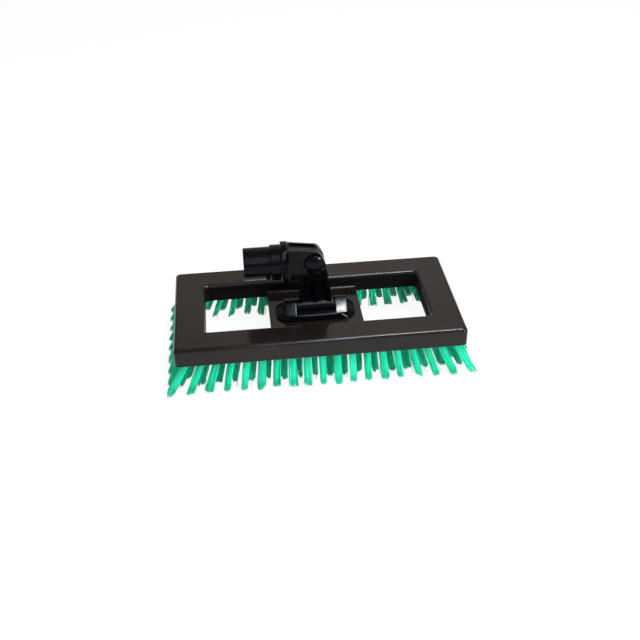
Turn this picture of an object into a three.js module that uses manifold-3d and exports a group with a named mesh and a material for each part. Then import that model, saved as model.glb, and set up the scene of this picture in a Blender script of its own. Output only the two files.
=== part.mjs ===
// Deck brush with a two-way swivel: an open frame block with splayed tufts, a hinge base on the
// block's recessed bridge, a neck that tilts front to back, and a pole socket that swings side to side.
// Millimetres, +Z up. The origin lies on the floor under the middle of the block, with X along the block.
import * as THREE from 'three';
import { mergeGeometries, mergeVertices } from 'three/addons/utils/BufferGeometryUtils.js';
import Module from 'manifold-3d';

// Block: a frame with a long opening, crossed by a recessed bridge plate.
const BLOCK_LENGTH = 254;
const BLOCK_WIDTH = 128;
const BLOCK_HEIGHT = 17;
const RAIL_WIDTH = 27;
const BLOCK_CORNER = 3.4;
const OPENING_CORNER = 5;
const TOP_ROUND = 3.4;
const RIM_ROUND = 1.8;
const FOOT_ROUND = 0.8;
const BRIDGE_HALF_LENGTH = 42;
const BRIDGE_THICKNESS = 5;
const BRIDGE_FILLET = 2.4;
const BRIDGE_EDGE = 0.6;

// Bristles: two staggered rows on every rail, splayed outwards.
const BRISTLE_LENGTH = 28.5;
const ROW_PITCH = 13;
const ROW_TUFTS = 19;
const OUTER_ROW_Y = 57;
const INNER_ROW_Y = 46;
const COLUMN_PITCH = 14.6;
const COLUMN_TUFTS = 7;
const OUTER_COLUMN_X = 120.5;
const INNER_COLUMN_X = 107.5;
const STRAND_RADIUS = 1.45;
const STRAND_OFFSET = 1.7;
const TUFT_SPREAD = 1.2;
const ROW_LEAN_X = 17;
const COLUMN_LEAN_X = 12.5;
const LEAN_X_AT = 118;
const LEAN_X_POWER = 2.2;
const LEAN_Y = 0.145;
const BACKING_THICKNESS = 3;
const BACKING_MARGIN = 2.2;
const BACKING_SPLIT = 40;
const BACKING_SPLIT_WALL = 0.7;
const BACKING_CORNER = 3;
const TIP_TRIM = 0.5;

// Hinge base: a plinth with two bearing ears, held by four screws from beneath.
const PLINTH_HALF_LENGTH = 36;
const PLINTH_HALF_WIDTH = 16;
const PLINTH_HEIGHT = 6;
const PLINTH_CORNER = 11.5;
const PLINTH_EDGE = 1.2;
const LOBE_FOOT_HEIGHT = 1.6;
const LOBE_RUN = 5.6;
const LOBE_FLANK_RUN = 0.9;
const EAR_INNER_X = 17.4;
const EAR_OUTER_X = 28.4;
const EAR_RADIUS = 7.5;
const EAR_FOOT_HALF_WIDTH = 14;
const EAR_EDGE = 0.8;
const PIVOT_ABOVE_PLINTH = 0.5;
const ROD_RADIUS = 2.5;
const ROD_HALF_LENGTH = 26.4;
const SCREW_X = 23;
const SCREW_Y = 9;
const SCREW_LENGTH = 10;
const SCREW_RADIUS = 2;
const SCREW_HEAD_RADIUS = 3.7;
const SCREW_HEAD_HEIGHT = 2;
const SCREW_HEAD_EDGE = 0.6;
const SCREW_POINT = 1;
const COUNTERBORE_DEPTH = 2.5;

// Neck: a cross barrel, a thin web that ends in a round tongue, and ribs on both faces of the web.
const BARREL_HALF_LENGTH = 16.9;
const BARREL_EDGE = 0.8;
const PIN_ABOVE_PIVOT = 47.8;
const TONGUE_RADIUS = 9.3;
const WEB_HALF_THICKNESS = 2;
const RIB_HALF_THICKNESS = 6;
const NECK_FOOT_HALF_WIDTH = 14.7;
const NECK_FOOT_ABOVE_PIVOT = 4;
const NECK_FOOT_BULGE = 0.2;
const NECK_FOOT_HANDLE = 18;
const NECK_TOP_FLARE = 1.7;
const NECK_TOP_HANDLE = 11.8;
const NECK_EDGE = 0.5;
const TILT_LIMIT = 55 * Math.PI / 180;
const TILT_CLEARANCE = 0.4;
const SIDE_RIB_WIDTH = 3.2;
const RIDGE_HALF_WIDTH = 5;
const RIDGE_REACH = 6.8;
const SHOULDER_BELOW_PIN = 15.2;
const SHOULDER_SLOPE = 0.108;
const SHOULDER_DEPTH = 3;
const SHOULDER_LAND = 1;
const SHOULDER_TUCK = 0.3;
const POCKET_CORNER = 2;

// Pole socket: stepped barrel on the -X side of the pin, with a fork cut from its tapered end.
const SOCKET_MOUTH = 62.2;
const SOCKET_RADIUS = 14.6;
const COLLAR_START = 38.8;
const COLLAR_RADIUS = 16;
const HEAD_START = 29.4;
const HEAD_RADIUS = 18.4;
const TAPER_START = 23;
const FORK_RADIUS_AT_PIN = 14.7;
const FORK_NOSE = 9.4;
const FORK_HALF_WIDTH = 8;
const FORK_SLOT_HALF = 2.4;
const FORK_SLOT_ROOT = 12.9;
const FLAT_START = 19.5;
const FLAT_SWEEP = 6;
const SWEEP_HANDLE = 4.8;
const SWEEP_RISE = 1.5;
const NOSE_START = 2;
const NOSE_SHOULDER_X = 3.5;
const NOSE_SHOULDER_Z = 13.6;
const NOSE_TIP_HANDLE = 4.5;
const MOUTH_EDGE = 0.8;
const COLLAR_EDGE = 0.5;
const HEAD_EDGE = 0.8;
const TAPER_DROP = 0.8;
const BORE_RADIUS = 11.8;
const BORE_DEPTH = 36;
const BORE_LEAD_IN = 1;

// Swivel pin with a domed head at the front and a retainer at the rear.
const PIN_RADIUS = 4;
const PIN_HEAD_RADIUS = 9.4;
const PIN_HEAD_RIM = 2.4;
const PIN_DOME_HEIGHT = 3.4;
const RETAINER_RADIUS = 8.2;
const RETAINER_RIM = 0.8;
const RETAINER_DOME_HEIGHT = 3.4;
const PIN_END_BEYOND_FORK = 2.4;

// Working clearance between pieces that turn in or sit inside each other.
const GAP = 0.3;
const ROUND_SEGMENTS = 48;
const CORNER_STEPS = 5;

// Levels that follow from the sizes above.
const BLOCK_BOTTOM = BRISTLE_LENGTH;
const BLOCK_TOP = BLOCK_BOTTOM + BLOCK_HEIGHT;
const BRIDGE_TOP = BLOCK_BOTTOM + BRIDGE_THICKNESS;
const PLINTH_TOP = BRIDGE_TOP + PLINTH_HEIGHT;
const PIVOT_Z = PLINTH_TOP + PIVOT_ABOVE_PLINTH;
const PIN_Z = PIVOT_Z + PIN_ABOVE_PIVOT;
const OPENING_HALF_WIDTH = BLOCK_WIDTH / 2 - RAIL_WIDTH;

const wasm = await Module();
wasm.setup();

const ALONG_X = new THREE.Matrix4().makeBasis(
  new THREE.Vector3(0, 1, 0),
  new THREE.Vector3(0, 0, 1),
  new THREE.Vector3(1, 0, 0),
);
const ALONG_Y = new THREE.Matrix4().makeBasis(
  new THREE.Vector3(1, 0, 0),
  new THREE.Vector3(0, 0, 1),
  new THREE.Vector3(0, -1, 0),
);

// Welds a closed geometry into a solid that can be joined and cut, with its faces turned outwards.
function solid(geometry) {
  const bare = geometry.clone();
  bare.deleteAttribute('normal');
  bare.deleteAttribute('uv');
  const welded = mergeVertices(bare, 1e-4);
  const corners = welded.index.array;
  const kept = [];
  for (let i = 0; i < corners.length; i += 3) {
    const [a, b, c] = [corners[i], corners[i + 1], corners[i + 2]];
    if (a !== b && b !== c && c !== a) kept.push(a, b, c);
  }
  const body = manifoldOf(welded.attributes.position.array, kept);
  return body.volume() > 0 ? body : manifoldOf(welded.attributes.position.array, kept.reverse());
}

function manifoldOf(points, corners) {
  return new wasm.Manifold(new wasm.Mesh({
    numProp: 3,
    vertProperties: new Float32Array(points),
    triVerts: new Uint32Array(corners),
  }));
}

// Turns a finished solid back into a shaded mesh with a name.
function part(name, body, finish) {
  const result = body.getMesh();
  const geometry = new THREE.BufferGeometry();
  geometry.setAttribute('position', new THREE.BufferAttribute(result.vertProperties, 3));
  geometry.setIndex(new THREE.BufferAttribute(result.triVerts, 1));
  geometry.computeVertexNormals();
  const mesh = new THREE.Mesh(geometry, finish);
  mesh.name = name;
  return mesh;
}

// Rounded rectangle of points around (x, y) at one level.
function roundedRing(x, y, z, halfX, halfY, radius, steps = CORNER_STEPS) {
  const ring = [];
  for (let quarter = 0; quarter < 4; quarter += 1) {
    const side = [[1, 1], [-1, 1], [-1, -1], [1, -1]][quarter];
    for (let step = 0; step <= steps; step += 1) {
      const angle = (quarter + step / steps) * Math.PI / 2;
      const px = x + side[0] * (halfX - radius) + radius * Math.cos(angle);
      const py = y + side[1] * (halfY - radius) + radius * Math.sin(angle);
      ring.push(new THREE.Vector3(px, py, z));
    }
  }
  return ring;
}

// Skins rings of equal count. The end rings close as caps, or the last ring joins the first.
function loft(rings, endless = false) {
  const count = rings[0].length;
  const corners = [];
  const bands = endless ? rings.length : rings.length - 1;
  for (let band = 0; band < bands; band += 1) {
    const low = band * count;
    const high = ((band + 1) % rings.length) * count;
    for (let i = 0; i < count; i += 1) {
      const next = (i + 1) % count;
      corners.push(low + i, low + next, high + next, low + i, high + next, high + i);
    }
  }
  const last = (rings.length - 1) * count;
  for (let i = 1; !endless && i < count - 1; i += 1) {
    corners.push(0, i + 1, i, last, last + i, last + i + 1);
  }
  const geometry = new THREE.BufferGeometry().setFromPoints(rings.flat());
  geometry.setIndex(corners);
  return geometry;
}

// Extrudes an outline between two stations along the axis that a basis gives, with rounded end edges.
function extruded(outline, from, to, basis, edge = 0, curveSegments = 10) {
  const geometry = new THREE.ExtrudeGeometry(outline, {
    depth: to - from - 2 * edge,
    curveSegments,
    bevelEnabled: edge > 0,
    bevelSize: edge,
    bevelThickness: edge,
    bevelOffset: -edge,
    bevelSegments: 2,
  });
  geometry.translate(0, 0, from + edge);
  return solid(basis ? geometry.applyMatrix4(basis) : geometry);
}

// A round bar along X through the pivot height, or along Y through the pin height.
function barAlongX(radius, halfLength) {
  const bar = new THREE.CylinderGeometry(radius, radius, 2 * halfLength, ROUND_SEGMENTS);
  return solid(bar.rotateZ(Math.PI / 2).translate(0, 0, PIVOT_Z));
}

function barAlongY(radius, halfLength) {
  const bar = new THREE.CylinderGeometry(radius, radius, 2 * halfLength, ROUND_SEGMENTS);
  return solid(bar.translate(0, 0, PIN_Z));
}

// A revolved profile of (radius, height) points, upright on its own axis.
function revolved(profile) {
  return new THREE.LatheGeometry(profile.map(([r, h]) => new THREE.Vector2(r, h)), ROUND_SEGMENTS);
}

// Rail section as (inset from the outside, height), carried round the frame.
function frameSolid() {
  const section = new THREE.Path();
  section.moveTo(FOOT_ROUND, BLOCK_BOTTOM);
  section.lineTo(0, BLOCK_BOTTOM + FOOT_ROUND);
  section.lineTo(0, BLOCK_TOP - TOP_ROUND);
  section.absarc(TOP_ROUND, BLOCK_TOP - TOP_ROUND, TOP_ROUND, Math.PI, Math.PI / 2, true);
  section.lineTo(RAIL_WIDTH - RIM_ROUND, BLOCK_TOP);
  section.absarc(RAIL_WIDTH - RIM_ROUND, BLOCK_TOP - RIM_ROUND, RIM_ROUND, Math.PI / 2, 0, true);
  section.lineTo(RAIL_WIDTH, BLOCK_BOTTOM + FOOT_ROUND);
  section.lineTo(RAIL_WIDTH - FOOT_ROUND, BLOCK_BOTTOM);
  const rings = section.getPoints(CORNER_STEPS).map((point) => {
    const across = point.x / RAIL_WIDTH;
    const corner = THREE.MathUtils.lerp(BLOCK_CORNER, OPENING_CORNER, across);
    return roundedRing(0, 0, point.y, BLOCK_LENGTH / 2 - point.x, BLOCK_WIDTH / 2 - point.x, corner);
  });
  return solid(loft(rings, true));
}

// Bridge section across the opening, with concave fillets where it meets the front and rear walls.
function bridgeSolid() {
  const wall = OPENING_HALF_WIDTH;
  const rooted = wall + FOOT_ROUND + 1;
  const filletTop = BRIDGE_TOP + BRIDGE_FILLET;
  const section = new THREE.Shape();
  section.moveTo(-rooted, BLOCK_BOTTOM);
  section.lineTo(rooted, BLOCK_BOTTOM);
  section.lineTo(rooted, filletTop);
  section.lineTo(wall, filletTop);
  section.absarc(wall - BRIDGE_FILLET, filletTop, BRIDGE_FILLET, 0, -Math.PI / 2, true);
  section.lineTo(BRIDGE_FILLET - wall, BRIDGE_TOP);
  section.absarc(BRIDGE_FILLET - wall, filletTop, BRIDGE_FILLET, -Math.PI / 2, -Math.PI, true);
  section.lineTo(-rooted, filletTop);
  return extruded(section, -BRIDGE_HALF_LENGTH, BRIDGE_HALF_LENGTH, ALONG_X, BRIDGE_EDGE, 4);
}

// Backing fields of the four bristle groups: centre and half sizes in the plane of the block's underside.
function backingFields() {
  const outerX = BLOCK_LENGTH / 2 - BACKING_MARGIN - GAP;
  const innerX = outerX - (RAIL_WIDTH - 2 * BACKING_MARGIN);
  const outerY = BLOCK_WIDTH / 2 - BACKING_MARGIN - GAP;
  const innerY = BACKING_SPLIT + BACKING_SPLIT_WALL;
  const rowY = (outerY + innerY) / 2;
  const columnX = (outerX + innerX) / 2;
  const row = { halfX: outerX, halfY: (outerY - innerY) / 2, corner: BACKING_CORNER };
  const column = { halfX: (outerX - innerX) / 2, halfY: BACKING_SPLIT - BACKING_SPLIT_WALL, corner: 1 };
  return {
    front: { x: 0, y: -rowY, ...row },
    back: { x: 0, y: rowY, ...row },
    left: { x: -columnX, y: 0, ...column },
    right: { x: columnX, y: 0, ...column },
  };
}

function backingSolid(field, grow) {
  const levels = [BLOCK_BOTTOM - grow, BLOCK_BOTTOM + BACKING_THICKNESS + grow];
  return solid(loft(levels.map((z) => roundedRing(
    field.x, field.y, z, field.halfX + grow, field.halfY + grow, field.corner + grow, 3))));
}

// Tuft roots on the underside: rows along the long rails, columns along the short ones, half a pitch apart.
function tuftRoots() {
  const roots = [];
  const line = (count, pitch, place) => {
    for (let i = 0; i < count; i += 1) roots.push(place((i - (count - 1) / 2) * pitch));
  };
  for (const side of [-1, 1]) {
    line(ROW_TUFTS, ROW_PITCH, (x) => [x, side * OUTER_ROW_Y]);
    line(ROW_TUFTS - 1, ROW_PITCH, (x) => [x, side * INNER_ROW_Y]);
    line(COLUMN_TUFTS, COLUMN_PITCH, (y) => [side * OUTER_COLUMN_X, y]);
    line(COLUMN_TUFTS - 1, COLUMN_PITCH, (y) => [side * INNER_COLUMN_X, y]);
  }
  return roots;
}

// Where a tuft rooted at (x, y) meets the floor: the lean grows towards the ends of the block, and
// is greater in the rows along the long rails than in the columns between them.
function tuftTip([x, y]) {
  const reach = Math.abs(y) < INNER_ROW_Y ? COLUMN_LEAN_X : ROW_LEAN_X;
  const lean = reach * Math.sign(x) * (Math.abs(x) / LEAN_X_AT) ** LEAN_X_POWER;
  return [x + lean, y * (1 + LEAN_Y)];
}

// One three-sided strand from its root inside the backing to just below the floor.
function strandGeometry(root, tip, turn) {
  const rise = BRISTLE_LENGTH + TIP_TRIM;
  const rootDepth = BACKING_THICKNESS / 3;
  const ring = (share) => [0, 1, 2].map((i) => {
    const angle = turn + i * 2 * Math.PI / 3;
    return new THREE.Vector3(
      THREE.MathUtils.lerp(root[0], tip[0], share) + STRAND_RADIUS * Math.cos(angle),
      THREE.MathUtils.lerp(root[1], tip[1], share) + STRAND_RADIUS * Math.sin(angle),
      BLOCK_BOTTOM - share * rise,
    );
  });
  return loft([ring(1), ring(-rootDepth / rise)]);
}

// Four strands stand round each tuft's centre and part a little towards the floor.
function tuftGeometry(root) {
  const tip = tuftTip(root);
  const strands = [];
  for (let i = 0; i < 4; i += 1) {
    const angle = (i + 0.5) * Math.PI / 2;
    const dx = STRAND_OFFSET * Math.SQRT2 * Math.cos(angle);
    const dy = STRAND_OFFSET * Math.SQRT2 * Math.sin(angle);
    const strandRoot = [root[0] + dx, root[1] + dy];
    const strandTip = [tip[0] + TUFT_SPREAD * dx, tip[1] + TUFT_SPREAD * dy];
    strands.push(strandGeometry(strandRoot, strandTip, angle));
  }
  return mergeGeometries(strands);
}

// The strands of one field, fused to their backing and trimmed flat at the floor.
function bristleSolid(field) {
  const reach = field.halfY + BACKING_SPLIT_WALL;
  const inField = ([x, y]) => Math.abs(y - field.y) < reach && Math.abs(x - field.x) < field.halfX;
  const tufts = mergeGeometries(tuftRoots().filter(inField).map(tuftGeometry));
  const floor = new THREE.BoxGeometry(2 * BLOCK_LENGTH, 2 * BLOCK_WIDTH, BRISTLE_LENGTH);
  const belowFloor = solid(floor.translate(0, 0, -BRISTLE_LENGTH / 2));
  return backingSolid(field, 0).add(solid(tufts)).subtract(belowFloor);
}

function screwPlaces() {
  return [[-1, -1], [1, -1], [-1, 1], [1, 1]].map(([sx, sy]) => [sx * SCREW_X, sy * SCREW_Y]);
}

// A screw with its head below: also used, grown by the clearance, as the hole for it.
function screwSolid([x, y], grow = 0, headHeight = SCREW_HEAD_HEIGHT) {
  const seat = BLOCK_BOTTOM + COUNTERBORE_DEPTH;
  const edge = grow > 0 ? 0 : SCREW_HEAD_EDGE;
  const profile = [
    [0, seat - headHeight],
    [SCREW_HEAD_RADIUS + grow - edge, seat - headHeight],
    [SCREW_HEAD_RADIUS + grow, seat - headHeight + edge],
    [SCREW_HEAD_RADIUS + grow, seat],
    [SCREW_RADIUS + grow, seat],
    [SCREW_RADIUS + grow, seat + SCREW_LENGTH - SCREW_POINT],
    [SCREW_RADIUS / 2 + grow, seat + SCREW_LENGTH + grow],
    [0, seat + SCREW_LENGTH + grow],
  ].map(([r, h]) => new THREE.Vector2(r, h));
  const upright = new THREE.LatheGeometry(profile, 16).rotateX(Math.PI / 2);
  return solid(upright.translate(x, y, 0));
}

function screwHoles() {
  return screwPlaces().map((place) => screwSolid(place, GAP, COUNTERBORE_DEPTH + GAP));
}

function blockSolid() {
  let body = frameSolid().add(bridgeSolid());
  for (const field of Object.values(backingFields())) body = body.subtract(backingSolid(field, GAP));
  body = body.subtract(barAlongX(EAR_RADIUS + GAP, EAR_INNER_X));
  return screwHoles().reduce((left, hole) => left.subtract(hole), body);
}

// Plinth whose lobed ends ramp up from a low foot to a plateau with a softened rim.
function plinthSolid() {
  const ring = (run, inset, rise) => roundedRing(
    0, 0, BRIDGE_TOP + rise,
    PLINTH_HALF_LENGTH - run * LOBE_RUN - inset,
    PLINTH_HALF_WIDTH - run * LOBE_FLANK_RUN - inset,
    PLINTH_CORNER - run * LOBE_FLANK_RUN - inset,
  );
  const rim = [0, 1, 2, 3].map((step) => {
    const angle = step * Math.PI / 6;
    return ring(1, PLINTH_EDGE * (1 - Math.cos(angle)), PLINTH_HEIGHT - PLINTH_EDGE * (1 - Math.sin(angle)));
  });
  return solid(loft([ring(0, 0, 0), ring(0, 0, LOBE_FOOT_HEIGHT), ...rim]));
}

// The rod goes in from the left: its hole runs out at that side and stays blind at the other.
function rodHole() {
  const end = ROD_HALF_LENGTH + GAP;
  const length = PLINTH_HALF_LENGTH + end;
  const hole = new THREE.CylinderGeometry(ROD_RADIUS + GAP, ROD_RADIUS + GAP, length, ROUND_SEGMENTS);
  return solid(hole.rotateZ(Math.PI / 2).translate(end - length / 2, 0, PIVOT_Z));
}

// Two ears, whose sides run tangent to their round tops, stand on the plinth.
function hingeBaseSolid() {
  let body = plinthSolid();
  const ear = earOutline();
  body = body.add(extruded(ear, EAR_INNER_X, EAR_OUTER_X, ALONG_X, EAR_EDGE, 8));
  body = body.add(extruded(ear, -EAR_OUTER_X, -EAR_INNER_X, ALONG_X, EAR_EDGE, 8));
  body = body.subtract(barAlongX(EAR_RADIUS + GAP, EAR_INNER_X));
  body = body.subtract(rodHole());
  return screwHoles().reduce((left, hole) => left.subtract(hole), body);
}

function earOutline() {
  const footZ = BRIDGE_TOP + PLINTH_HEIGHT / 2;
  const drop = PIVOT_Z - PLINTH_TOP;
  const reach = Math.hypot(EAR_FOOT_HALF_WIDTH, drop);
  const tangent = Math.acos(EAR_RADIUS / reach) - Math.atan2(drop, EAR_FOOT_HALF_WIDTH);
  const outline = new THREE.Shape();
  outline.moveTo(-EAR_FOOT_HALF_WIDTH, footZ);
  outline.lineTo(EAR_FOOT_HALF_WIDTH, footZ);
  outline.lineTo(EAR_FOOT_HALF_WIDTH, PLINTH_TOP);
  outline.absarc(0, PIVOT_Z, EAR_RADIUS, tangent, Math.PI - tangent, false);
  outline.lineTo(-EAR_FOOT_HALF_WIDTH, PLINTH_TOP);
  return outline;
}

// Right-hand side of the neck seen from the front, from its foot up to the height of the pin.
function neckSide() {
  const footZ = PIVOT_Z + NECK_FOOT_ABOVE_PIVOT;
  return new THREE.CubicBezierCurve(
    new THREE.Vector2(NECK_FOOT_HALF_WIDTH, footZ),
    new THREE.Vector2(NECK_FOOT_HALF_WIDTH + NECK_FOOT_BULGE, footZ + NECK_FOOT_HANDLE),
    new THREE.Vector2(TONGUE_RADIUS + NECK_TOP_FLARE, PIN_Z - NECK_TOP_HANDLE),
    new THREE.Vector2(TONGUE_RADIUS, PIN_Z),
  );
}

// The web is the whole front view of the neck: flared sides that close in the round tongue.
function webOutline() {
  const side = neckSide().getPoints(10);
  const outline = new THREE.Shape();
  outline.moveTo(-side[0].x, side[0].y);
  side.forEach((point) => outline.lineTo(point.x, point.y));
  outline.absarc(0, PIN_Z, TONGUE_RADIUS, 0, Math.PI, false);
  side.slice(1).reverse().forEach((point) => outline.lineTo(-point.x, point.y));
  return outline;
}

function shoulderHeight(x) {
  return PIN_Z - SHOULDER_BELOW_PIN - SHOULDER_SLOPE * Math.abs(x);
}

// Half of the front view that the ribs reach: the side curve up to where it meets the shoulder.
function ribSide() {
  return neckSide().getPoints(10).filter((point) => point.y < shoulderHeight(point.x) - SHOULDER_LAND);
}

function ribOutline() {
  const side = ribSide();
  const topX = side.at(-1).x - SHOULDER_TUCK;
  const outline = new THREE.Shape();
  outline.moveTo(-side[0].x, side[0].y);
  side.forEach((point) => outline.lineTo(point.x, point.y));
  outline.lineTo(topX, shoulderHeight(topX));
  outline.lineTo(0, shoulderHeight(0));
  outline.lineTo(-topX, shoulderHeight(topX));
  side.slice(1).reverse().forEach((point) => outline.lineTo(-point.x, point.y));
  return outline;
}

// Pocket between the middle and one side rib, closed by the shoulder and open down to the barrel.
function pocketOutline(hand) {
  const side = ribSide();
  const edge = side.map((point) => new THREE.Vector2(hand * (point.x - SIDE_RIB_WIDTH), point.y));
  const top = shoulderHeight(side.at(-1).x) - SHOULDER_DEPTH;
  const last = edge.at(-1).x;
  const outline = new THREE.Shape();
  const foot = PIVOT_Z;
  outline.moveTo(0, foot);
  outline.lineTo(edge[0].x, foot);
  edge.slice(0, -1).forEach((point) => outline.lineTo(point.x, point.y));
  outline.lineTo(last, top - POCKET_CORNER);
  outline.quadraticCurveTo(last, top, last - POCKET_CORNER * hand, top);
  outline.lineTo(0, top);
  return outline;
}

// A four-cornered ridge runs up the middle and stands proud of the web on both faces.
function ridgeSolid() {
  const plan = new THREE.Shape([
    new THREE.Vector2(RIDGE_HALF_WIDTH, 0),
    new THREE.Vector2(0, RIDGE_REACH),
    new THREE.Vector2(-RIDGE_HALF_WIDTH, 0),
    new THREE.Vector2(0, -RIDGE_REACH),
  ]);
  return extruded(plan, PIVOT_Z, shoulderHeight(0) - SHOULDER_DEPTH / 2, null);
}

// Relief under one face of the neck, so that at full tilt it lies just clear of the plinth's top.
function tiltRelief(side) {
  const far = 2 * PIN_ABOVE_PIVOT;
  const start = (TILT_CLEARANCE - PIVOT_ABOVE_PLINTH) / Math.cos(TILT_LIMIT);
  const wedge = new THREE.Shape([
    new THREE.Vector2(0, PIVOT_Z + start),
    new THREE.Vector2(side * far, PIVOT_Z - far),
    new THREE.Vector2(side * far * Math.cos(TILT_LIMIT), PIVOT_Z + start + far * Math.sin(TILT_LIMIT)),
  ]);
  return extruded(wedge, -PLINTH_HALF_LENGTH, PLINTH_HALF_LENGTH, ALONG_X);
}

function neckSolid() {
  const barrel = new THREE.Shape();
  barrel.absarc(0, PIVOT_Z, EAR_RADIUS, 0, 2 * Math.PI, false);
  const round = extruded(barrel, -BARREL_HALF_LENGTH, BARREL_HALF_LENGTH, ALONG_X, BARREL_EDGE, 32);
  const web = extruded(webOutline(), -WEB_HALF_THICKNESS, WEB_HALF_THICKNESS, ALONG_Y, NECK_EDGE, 12);
  const deep = RIB_HALF_THICKNESS;
  const ribs = extruded(ribOutline(), -deep, deep, ALONG_Y, NECK_EDGE)
    .subtract(extruded(pocketOutline(-1), -deep - 1, deep + 1, ALONG_Y, 0, 3))
    .subtract(extruded(pocketOutline(1), -deep - 1, deep + 1, ALONG_Y, 0, 3));
  const upright = web.add(ribs).add(ridgeSolid()).subtract(tiltRelief(-1)).subtract(tiltRelief(1));
  return round.add(upright)
    .subtract(barAlongX(ROD_RADIUS + GAP, PLINTH_HALF_LENGTH))
    .subtract(barAlongY(PIN_RADIUS + GAP, RIB_HALF_THICKNESS + 1));
}

// Stepped barrel, collars and tapered fork blank as one revolved piece with the pole bore inside.
function socketBlank() {
  const taper = (HEAD_RADIUS - TAPER_DROP - FORK_RADIUS_AT_PIN) / TAPER_START;
  const end = FORK_NOSE + 1;
  const boreEnd = BORE_DEPTH - SOCKET_MOUTH;
  const profile = [
    [0, boreEnd],
    [BORE_RADIUS, boreEnd],
    [BORE_RADIUS, BORE_LEAD_IN - SOCKET_MOUTH],
    [BORE_RADIUS + BORE_LEAD_IN / 2, -SOCKET_MOUTH],
    [SOCKET_RADIUS - MOUTH_EDGE, -SOCKET_MOUTH],
    [SOCKET_RADIUS, MOUTH_EDGE - SOCKET_MOUTH],
    [SOCKET_RADIUS, -COLLAR_START],
    [COLLAR_RADIUS - COLLAR_EDGE, -COLLAR_START],
    [COLLAR_RADIUS, COLLAR_EDGE - COLLAR_START],
    [COLLAR_RADIUS, -HEAD_START],
    [HEAD_RADIUS - HEAD_EDGE, -HEAD_START],
    [HEAD_RADIUS, HEAD_EDGE - HEAD_START],
    [HEAD_RADIUS, -TAPER_START - HEAD_EDGE],
    [HEAD_RADIUS - TAPER_DROP, -TAPER_START],
    [FORK_RADIUS_AT_PIN - taper * end, end],
    [0, end],
  ];
  return solid(revolved(profile).rotateZ(-Math.PI / 2).translate(0, 0, PIN_Z));
}

// Front view of the fork's blunt nose, open towards the socket.
function noseOutline() {
  const back = -SOCKET_MOUTH - 1;
  const high = HEAD_RADIUS + 1;
  const [x, z] = [NOSE_SHOULDER_X, NOSE_SHOULDER_Z];
  const outline = new THREE.Shape();
  outline.moveTo(back, PIN_Z - high);
  outline.lineTo(-2 * NOSE_START, PIN_Z - high);
  outline.lineTo(-NOSE_START, PIN_Z - FORK_RADIUS_AT_PIN);
  outline.bezierCurveTo(x, PIN_Z - z, FORK_NOSE, PIN_Z - NOSE_TIP_HANDLE, FORK_NOSE, PIN_Z);
  outline.bezierCurveTo(FORK_NOSE, PIN_Z + NOSE_TIP_HANDLE, x, PIN_Z + z, -NOSE_START, PIN_Z + FORK_RADIUS_AT_PIN);
  outline.lineTo(-2 * NOSE_START, PIN_Z + high);
  outline.lineTo(back, PIN_Z + high);
  return outline;
}

// Plan of what is cut from one flank of the fork: a flat that sweeps out to the head in a hollow curve.
function flankOutline(side) {
  const beyond = HEAD_RADIUS + 2;
  const end = 2 * FORK_NOSE;
  const outer = -FLAT_START - FLAT_SWEEP;
  const outline = new THREE.Shape();
  outline.moveTo(end, side * FORK_HALF_WIDTH);
  outline.lineTo(-FLAT_START, side * FORK_HALF_WIDTH);
  outline.quadraticCurveTo(
    -FLAT_START - SWEEP_HANDLE, side * (FORK_HALF_WIDTH + SWEEP_RISE), outer, side * HEAD_RADIUS);
  outline.lineTo(outer, side * beyond);
  outline.lineTo(end, side * beyond);
  return outline;
}

function slotOutline() {
  return new THREE.Shape([
    new THREE.Vector2(-FORK_SLOT_ROOT, -FORK_SLOT_HALF),
    new THREE.Vector2(2 * FORK_NOSE, -FORK_SLOT_HALF),
    new THREE.Vector2(2 * FORK_NOSE, FORK_SLOT_HALF),
    new THREE.Vector2(-FORK_SLOT_ROOT, FORK_SLOT_HALF),
  ]);
}

function socketSolid() {
  const low = PIN_Z - HEAD_RADIUS - 2;
  const high = PIN_Z + HEAD_RADIUS + 2;
  const wide = HEAD_RADIUS + 1;
  return socketBlank()
    .intersect(extruded(noseOutline(), -wide, wide, ALONG_Y, 0, 10))
    .subtract(extruded(flankOutline(-1), low, high, null, 0, 6))
    .subtract(extruded(flankOutline(1), low, high, null, 0, 6))
    .subtract(extruded(slotOutline(), low, high, null))
    .subtract(barAlongY(PIN_RADIUS + GAP, wide));
}

// Spherical cap from the rim to the axis, as (radius, height) points.
function domeProfile(radius, base, height, steps = 8) {
  const ball = (radius ** 2 + height ** 2) / (2 * Math.abs(height));
  const points = [];
  for (let i = 0; i <= steps; i += 1) {
    const r = radius * (1 - i / steps);
    const rise = Math.sqrt(ball ** 2 - r ** 2) - ball + Math.abs(height);
    points.push([r, base + Math.sign(height) * rise]);
  }
  return points;
}

function pinSolid() {
  const profile = [
    ...domeProfile(PIN_HEAD_RADIUS, -FORK_HALF_WIDTH - PIN_HEAD_RIM, -PIN_DOME_HEIGHT).reverse(),
    [PIN_HEAD_RADIUS, -FORK_HALF_WIDTH],
    [PIN_RADIUS, -FORK_HALF_WIDTH],
    [PIN_RADIUS, FORK_HALF_WIDTH + PIN_END_BEYOND_FORK],
    [0, FORK_HALF_WIDTH + PIN_END_BEYOND_FORK],
  ];
  return solid(revolved(profile).translate(0, 0, PIN_Z));
}

function retainerSolid() {
  const pocketEnd = FORK_HALF_WIDTH + PIN_END_BEYOND_FORK + GAP;
  const profile = [
    [0, pocketEnd],
    [PIN_RADIUS + GAP, pocketEnd],
    [PIN_RADIUS + GAP, FORK_HALF_WIDTH],
    [RETAINER_RADIUS, FORK_HALF_WIDTH],
    ...domeProfile(RETAINER_RADIUS, FORK_HALF_WIDTH + RETAINER_RIM, RETAINER_DOME_HEIGHT),
  ];
  return solid(revolved(profile).translate(0, 0, PIN_Z));
}

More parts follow.
